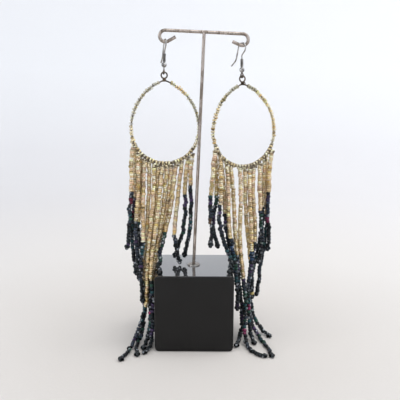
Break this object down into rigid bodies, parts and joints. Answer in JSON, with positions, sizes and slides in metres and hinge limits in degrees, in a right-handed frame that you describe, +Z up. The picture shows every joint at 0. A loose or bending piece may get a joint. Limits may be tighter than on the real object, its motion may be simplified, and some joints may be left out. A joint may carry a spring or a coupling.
{
  "type": "pair of beaded fringe hoop earrings on a display stand",
  "caption": "Long beaded fringe hoop earrings hung by French ear wires from a plain T-bar display stand on a black cube base; the longest strings lie on the table.",
  "frame": {"origin": "middle of the underside of the stand's base, on the table", "axes": "+Z up along the stand, +X to the right and -Y towards the front, where the long strings lie on the table"},
  "size_m": [0.0897, 0.0584, 0.1813],
  "materials": {
    "black_block": "high gloss",
    "stand_metal": "satin, brownish grey",
    "hook_metal": "bright",
    "hoop_metal": "dark gunmetal, semi-gloss",
    "pale_beads": "clear glass lined with pale gold",
    "fringe_beads": "gold-lined glass above, black iris glass below"
  },
  "bodies": {
    "root": {"stand_base": "black_block", "stand_collar": "stand_metal", "stand_tee": "stand_metal", "left_ear_hook": "hook_metal", "left_hook_coil": "hook_metal", "left_hook_ball": "hook_metal", "left_hoop_wire": "hoop_metal", "left_hoop_beads": "pale_beads", "left_strand_01": "fringe_beads", "left_strand_02": "fringe_beads", "left_strand_03": "fringe_beads", "left_strand_04": "fringe_beads", "left_strand_05": "fringe_beads", "left_strand_06": "fringe_beads", "left_strand_07": "fringe_beads", "left_strand_08": "fringe_beads", "left_strand_09": "fringe_beads", "left_strand_10": "fringe_beads", "left_strand_11": "fringe_beads", "left_strand_12": "fringe_beads", "left_strand_13": "fringe_beads", "left_strand_14": "fringe_beads", "left_strand_15": "fringe_beads", "right_ear_hook": "hook_metal", "right_hook_coil": "hook_metal", "right_hook_ball": "hook_metal", "right_hoop_wire": "hoop_metal", "right_hoop_beads": "pale_beads", "right_strand_01": "fringe_beads", "right_strand_02": "fringe_beads", "right_strand_03": "fringe_beads", "right_strand_04": "fringe_beads", "right_strand_05": "fringe_beads", "right_strand_06": "fringe_beads", "right_strand_07": "fringe_beads", "right_strand_08": "fringe_beads", "right_strand_09": "fringe_beads", "right_strand_10": "fringe_beads", "right_strand_11": "fringe_beads", "right_strand_12": "fringe_beads", "right_strand_13": "fringe_beads", "right_strand_14": "fringe_beads"}
  },
  "joints": []
}
